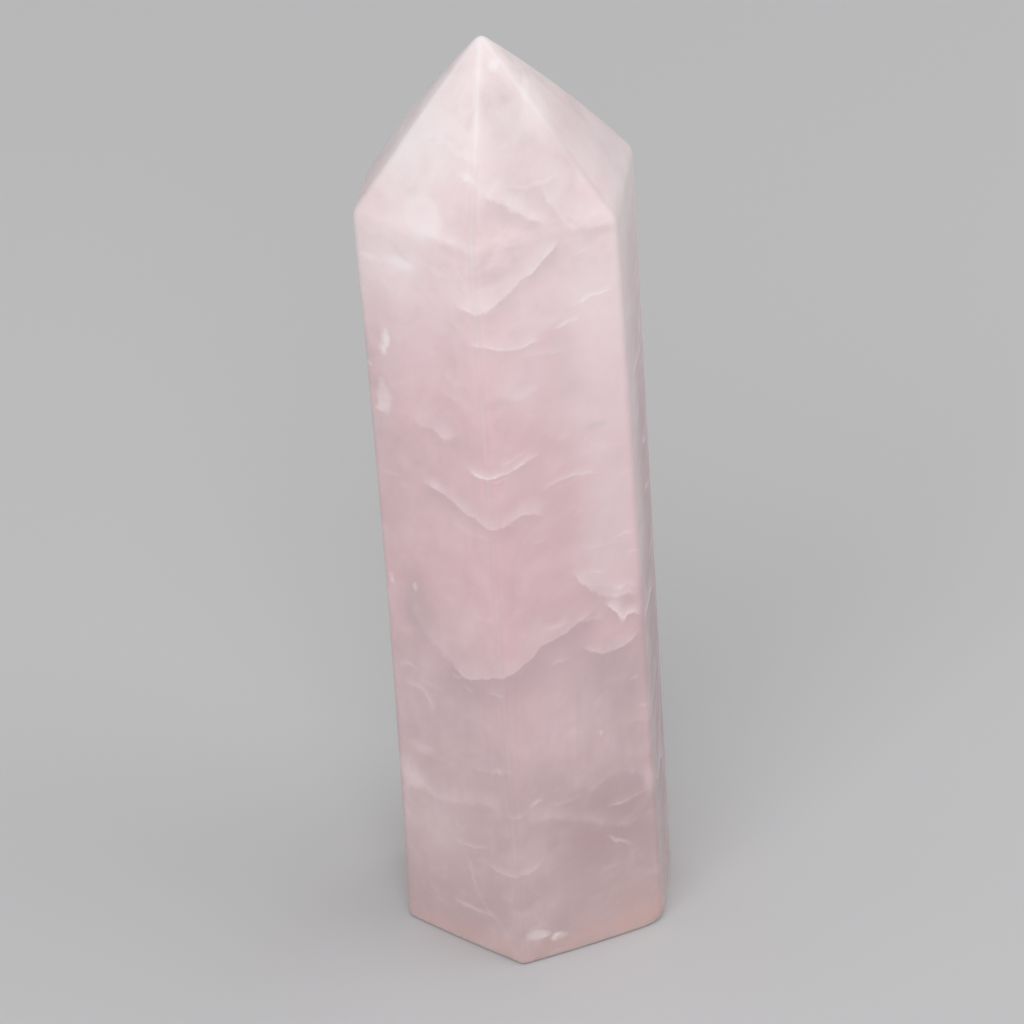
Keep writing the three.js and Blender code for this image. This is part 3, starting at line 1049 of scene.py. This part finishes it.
still = Wire.make(finish, "ShaderNodeTexCoord", out="Object").scaled(1 / MM)
up_the_stone = parts_of(still)[2]
stops = [(at / STONE_HEIGHT, colour) for at, colour in BODY_RUN_AND_SHADE]
sockets = {"Fac": up_the_stone / STONE_HEIGHT}
body_colour_and_shade = Wire.make(finish, "ShaderNodeValToRGB", {"stops": stops}, sockets, "Color")
print(len(stops), "stops up the stone")

# %% [markdown]
# The finest detail comes from noise in the finish itself. It scallops the cuts of the sheets and breaks
# them up, so that they look like healed bubbles rather than drawn lines. Faint upright threads run through
# the lower half, where the crystal grew, and a grain too fine to see from a step away keeps the polish from
# looking like plastic.

# %% Fine detail
FINE = dict(size=0.5, seed=131, detail=1.0)
BREAKS = dict(size=2.2, seed=149)
THREADS = dict(size=0.7, seed=67, detail=1.0)
GRAIN = dict(size=0.25, seed=83, detail=1.0)
THREAD_STRETCH = (1, 1, 0.07)
SCALLOP = 2.2

fine = noise(still, **FINE)
breaks = noise(still, **BREAKS)
threads = noise(vector_math("MULTIPLY", still, THREAD_STRETCH), **THREADS)
grain = noise(still, **GRAIN)
scallop = (fine - 0.5) * SCALLOP
print("scallops of", FINE["size"], "mm and breaks of", BREAKS["size"], "mm")

# %% Marks of the sheets
EDGES_OF_RIM = 3
SPOT_SCALLOP = 0.5
milk, shadow = 0.0, 0.0
for number in range(len(layers)):
    gap = read(f"gap_{number}") + scallop
    rim, fill, shade = parts_of(read(f"sheet_{number}", "Vector"))
    above = gap.smooth(-1, 1)
    milk = (gap.smooth(EDGES_OF_RIM, 0) * rim + fill) * above + milk
    shadow = (1 - above) * shade + shadow
white = (read("spot_gap") + scallop * SPOT_SCALLOP).smooth(1, -1) * read("spot_strength")
print(len(layers), "layers drawn")

# %% [markdown]
# Every tint has a share, and comes in between two heights or two levels of a noise. The noise breaks up the
# milk of the sheets and the spots. The arrises get painted shade, stronger towards the foot, that cancels
# the bright line the light draws along them, and the ridges near the tip get a painted white highlight.

# %% Tints
PINK_FLUSH = (0.78, 0.55, 0.585)
# The painted glow of light coming through the foot.
PEACH_GLOW = (0.64, 0.45, 0.42)
BLUSH_MILK = (0.91, 0.79, 0.81)
SNOW = (0.95, 0.90, 0.91)
SMOKE = (0.50, 0.40, 0.41)
DUSK = (0.36, 0.2, 0.225)
SHADE = (0.48, 0.355, 0.38)
# The colour of the painted shade on the arrises.
PAINTED_EDGE_SHADE = (0.16, 0.17, 0.17)
SHARES = dict(
    pinker=0.6, darker=0.9, paler=0.55, shadow=0.65, milk=0.9, ridge=0.25, threads_and_grain=0.1, grain=0.4,
    edge_shade_at_foot=0.19, edge_shade_per_mm=0.0008, least_broken=0.5, broken=0.6,
)
HEIGHTS = dict(white_milk=(64, 84), threads=(46, 20), ridges=(83, 90))
LEVELS = dict(milk=(0.3, 0.62), peach=(0.2, 0.6), threads=(0.45, 0.7), grain=(0.4, 0.8))
print(len(SHARES), "shares")

# %% The colour
broken = breaks.smooth(*LEVELS["milk"]) * SHARES["broken"] + SHARES["least_broken"]
thready = threads.smooth(*LEVELS["threads"]) * up_the_stone.smooth(*HEIGHTS["threads"])
grainy = grain.smooth(*LEVELS["grain"]) * SHARES["grain"]
greyer = read("greyer") + (thready + grainy) * SHARES["threads_and_grain"]
milk_colour = mix(up_the_stone.smooth(*HEIGHTS["white_milk"]), BLUSH_MILK, SNOW)
on_arris = read("arris")
# A painted highlight: a thin white line on the ridges near the tip.
ridge_highlight = on_arris * up_the_stone.smooth(*HEIGHTS["ridges"])
# Painted shade along the arrises, stronger towards the foot, that cancels the bright line the light draws
# there.
wear_and_edge_shade = (on_arris - ridge_highlight) * (SHARES["edge_shade_at_foot"] - up_the_stone * SHARES["edge_shade_per_mm"])

colour = body_colour_and_shade
for share, tint in (
    (read("pinker") * SHARES["pinker"], PINK_FLUSH),
    (read("darker") * SHARES["darker"], DUSK),
    (greyer, SMOKE),
    (read("paler") * SHARES["paler"], milk_colour),
    (shadow * SHARES["shadow"], SHADE),
    (read("peach") * breaks.smooth(*LEVELS["peach"]), PEACH_GLOW),
    ((milk * broken).math("MINIMUM", SHARES["milk"]), milk_colour),
    (white * broken, SNOW),
    (wear_and_edge_shade, PAINTED_EDGE_SHADE),
    (ridge_highlight * SHARES["ridge"], SNOW),
):
    colour = mix(share, colour, tint)
print("finish tree so far:", len(finish.nodes), "nodes")

# %% The shader
POLISH = 0.19
GRAIN_ROUGHNESS = 0.07
MILK_ROUGHNESS = 0.05
FINE_RELIEF = 0.15
roughness = (grain - 0.5) * GRAIN_ROUGHNESS + milk * MILK_ROUGHNESS + POLISH
sockets = {"Strength": 0.25, "Distance": 0.02 * MM, "Height": breaks + fine * FINE_RELIEF}
bump = Wire.make(finish, "ShaderNodeBump", {}, sockets)
sockets = {
    "Base Color": colour,
    "Roughness": roughness,
    "IOR": 1.54,
    "Specular IOR Level": 0.22,
    "Subsurface Weight": 1.0,
    "Subsurface Radius": (1.0, 0.85, 0.85),
    "Subsurface Scale": 2 * MM,
    "Normal": bump,
}
shader = Wire.make(finish, "ShaderNodeBsdfPrincipled", {"subsurface_method": "RANDOM_WALK"}, sockets)
Wire.make(finish, "ShaderNodeOutputMaterial", {}, {"Surface": shader})
print("finish tree:", len(finish.nodes), "nodes")

# %% [markdown]
# ## Lights and floor
#
# The stone in the photo has no hard highlight: the light comes from all round, with a little more from the
# front. A large soft light near the camera and a bright plain room do the same. A weaker light above the
# right side brings that side out, and a weak one behind it lifts the edge there.

# %% Floor
FLOOR_REACH = 2.0
FLOOR_DROP = 0.1 * MM
FLOOR_COLOUR = (0.6, 0.6, 0.61)
FLOOR_ROUGHNESS = 0.6
signs = [(-1, -1), (1, -1), (1, 1), (-1, 1)]
floor_corners = [(x * FLOOR_REACH, y * FLOOR_REACH, -FLOOR_DROP) for x, y in signs]
floor_mesh = bpy.data.meshes.new("floor")
floor_mesh.from_pydata(floor_corners, [], [(0, 1, 2, 3)])
floor_finish = bpy.data.materials.new("floor")
floor_finish.use_nodes = True
plain = floor_finish.node_tree.nodes["Principled BSDF"].inputs
plain["Base Color"].default_value = (*FLOOR_COLOUR, 1)
plain["Roughness"].default_value = FLOOR_ROUGHNESS
floor_mesh.materials.append(floor_finish)
floor = add_object("floor", floor_mesh)
print("floor", 2 * FLOOR_REACH, "m wide")

# %% Lights
# Name, place, size and watts.
LIGHTS = [
    ("front", (-0.19, -0.90, 0.65), 1.0, 7.3),
    ("upper_right", (0.69, -0.1, 0.76), 0.6, 1.3),
    ("back_right", (0.65, 0.5, 0.5), 0.6, 0.9),
]
AIM = Vector((-0.003, 0, 0.05))
ROOM_LIGHT = 0.48


def add_light(name, place, size, watts):
    """A square soft light aimed at the middle of the stone, with its place and size in metres."""
    light = bpy.data.lights.new(name, "AREA")
    light.size = size
    light.energy = watts
    lamp = add_object(name, light)
    lamp.location = place
    lamp.rotation_euler = (AIM - Vector(place)).to_track_quat("-Z", "Y").to_euler()


for light in LIGHTS:
    add_light(*light)
world = bpy.data.worlds.new("room")
world.use_nodes = True
background = world.node_tree.nodes["Background"].inputs
background["Color"].default_value = (1, 1, 1, 1)
background["Strength"].default_value = ROOM_LIGHT
bpy.context.scene.world = world
bpy.context.scene.view_settings.view_transform = "Standard"
print(len(LIGHTS), "lights")
